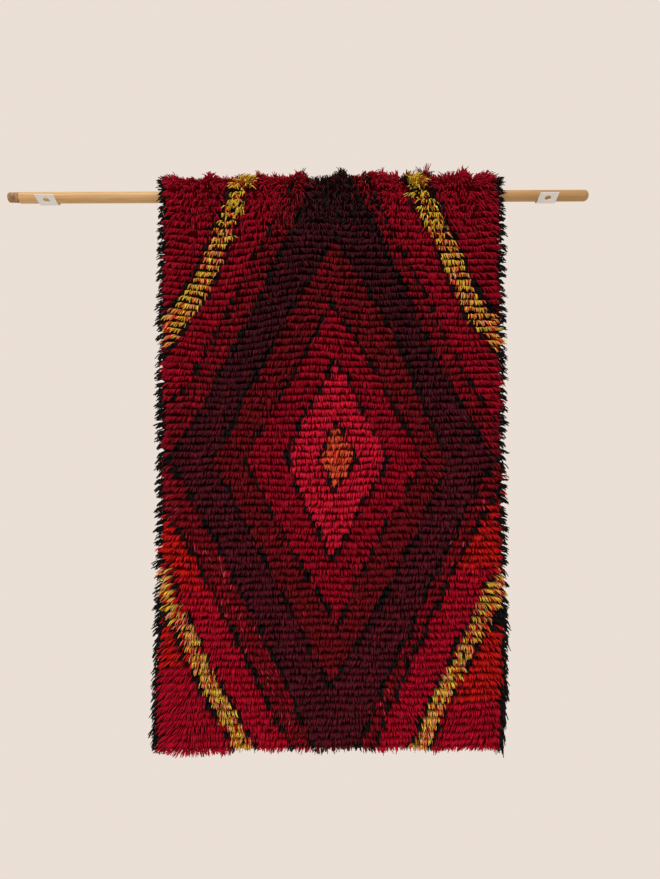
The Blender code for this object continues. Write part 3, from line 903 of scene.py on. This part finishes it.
def pole_wood():
    """Honey-coloured softwood: long grain, a darker band here and there, a worn grey end and a knot. Towards
    the right end it is darkened as painted shade.
    """
    material, tree, shader = new_finish("honey_pine", 0.42)
    shader.inputs["Specular IOR Level"].default_value = 0.4
    grain = noise(tree, object_place(tree, (1.2, 60, 60)), 9, 5.0, 0.6)
    fine = noise(tree, object_place(tree, (6, 400, 400)), 5, 3.0, 0.6)
    broad = noise(tree, object_place(tree, (5, 10, 10)), 1.4, 2.0, 0.5)
    growth = between(tree, grain, 0.32, 0.68)
    base = blend_colours(tree, growth, to_linear(178, 138, 86), to_linear(212, 178, 128))
    base = blend_colours(tree, between(tree, fine, 0.45, 0.75, 0.0, 0.45), base, to_linear(158, 112, 64))
    base = blend_colours(tree, between(tree, broad, 0.4, 0.7, 0.0, 0.35), base, to_linear(206, 160, 96))
    place = tree.nodes.new("ShaderNodeTexCoord").outputs["Object"]
    split = tree.nodes.new("ShaderNodeSeparateXYZ")
    tree.links.new(place, split.inputs[0])
    worn = between(tree, split.outputs[0], -0.6000, -0.5975, 1.0, 0.0)
    patchy = noise(tree, object_place(tree, (1, 1, 1)), 160, 3.0, 0.6)
    blotch = between(tree, patchy, 0.40, 0.62)
    stain = blend_colours(tree, blotch, to_linear(104, 72, 44), to_linear(168, 132, 88))
    # Painted shade: towards the right end the wood is darker, as if less lit.
    shaded = between(tree, split.outputs[0], 0.38, 0.52, 0.0, 0.55)
    base = blend_colours(tree, shaded, base, to_linear(142, 104, 58))
    base = blend_colours(tree, between(tree, worn, 0, 1, 0.0, 0.85), base, stain)
    tree.links.new(base, shader.inputs["Base Color"])
    relief(tree, shader, fine, 0.25, 0.0004)
    return material


def coated_strap():
    """Pale coated steel with small chips and a warmer tone along its worn places."""
    material, tree, shader = new_finish("pale_coated_steel", 0.38)
    shader.inputs["Metallic"].default_value = 0.15
    cloud = noise(tree, object_place(tree, (1, 1, 1)), 120, 4.0, 0.6)
    speck = noise(tree, object_place(tree, (1, 1, 1)), 900, 2.0, 0.7)
    base = blend_colours(tree, cloud, to_linear(206, 207, 208), to_linear(236, 236, 236))
    base = blend_colours(tree, between(tree, speck, 0.66, 0.74, 0.0, 0.6), base, to_linear(150, 142, 130))
    tree.links.new(base, shader.inputs["Base Color"])
    relief(tree, shader, cloud, 0.15, 0.0004)
    return material


def screw_metal():
    material, tree, shader = new_finish("dull_screw_steel", 0.42)
    shader.inputs["Metallic"].default_value = 1.0
    cloud = noise(tree, object_place(tree, (1, 1, 1)), 700, 3.0, 0.6)
    base = blend_colours(tree, cloud, (0.20, 0.19, 0.18), (0.42, 0.41, 0.39))
    tree.links.new(base, shader.inputs["Base Color"])
    relief(tree, shader, cloud, 0.2, 0.0002)
    return material


def finish_node(name, material):
    """Give a CAD node its material."""
    thing = nodes[name]
    for slot in thing.material_slots:
        slot.link = "OBJECT"
        slot.material = material


def add_camera():
    """The photograph's viewing angle."""
    data = bpy.data.cameras.new("camera")
    data.sensor_width = 36
    data.lens = 27.03
    data.clip_end = 50
    camera = bpy.data.objects.new("camera", data)
    place = Matrix.Translation((0.0683, -1.4189, -0.5838))
    tilt = Matrix.Rotation(math.radians(92.4), 4, "X")
    roll = Matrix.Rotation(math.radians(-0.23), 4, "Z")
    camera.matrix_world = place @ tilt @ roll
    bpy.context.scene.collection.objects.link(camera)
    bpy.context.scene.camera = camera


def add_light(name, place, aim, size, power, colour):
    """One soft studio light, turned to a point."""
    data = bpy.data.lights.new(name, "AREA")
    data.shape = "DISK"
    data.size = size
    data.energy = power
    data.color = colour
    light = bpy.data.objects.new(name, data)
    light.location = place
    toward = np.array(aim) - np.array(place)
    light.rotation_euler = Vector(toward).to_track_quat("-Z", "Y").to_euler()
    bpy.context.scene.collection.objects.link(light)


def add_studio():
    """Pale floor, pale surroundings and soft light from the front and above."""
    bpy.ops.object.select_all(action="DESELECT")
    bpy.ops.mesh.primitive_plane_add(size=1, location=(0, -9.3, -2.0))
    floor = bpy.context.active_object
    floor.name = "floor"
    floor.scale = (40, 20, 1)
    material, tree, shader = new_finish("pale_floor", 0.9)
    shader.inputs["Base Color"].default_value = (0.78, 0.76, 0.73, 1)
    floor.data.materials.append(material)
    world = bpy.data.worlds.new("pale_room")
    world.use_nodes = True
    world.node_tree.nodes["Background"].inputs[0].default_value = (0.83, 0.74, 0.665, 1)
    world.node_tree.nodes["Background"].inputs[1].default_value = 1.0
    bpy.context.scene.world = world
    bpy.context.scene.view_settings.view_transform = "Standard"
    add_light("key", (-1.1, -2.9, 3.5), (0.0, 0, -0.6), 2.0, 140, (1.0, 0.95, 0.90))


add_camera()
add_studio()
add_pile()
add_ground()
add_seam_and_warp_ends()
finish_node("pole", pole_wood())
for side in ("left", "right"):
    finish_node("hook_" + side, coated_strap())
    finish_node("screw_" + side, screw_metal())
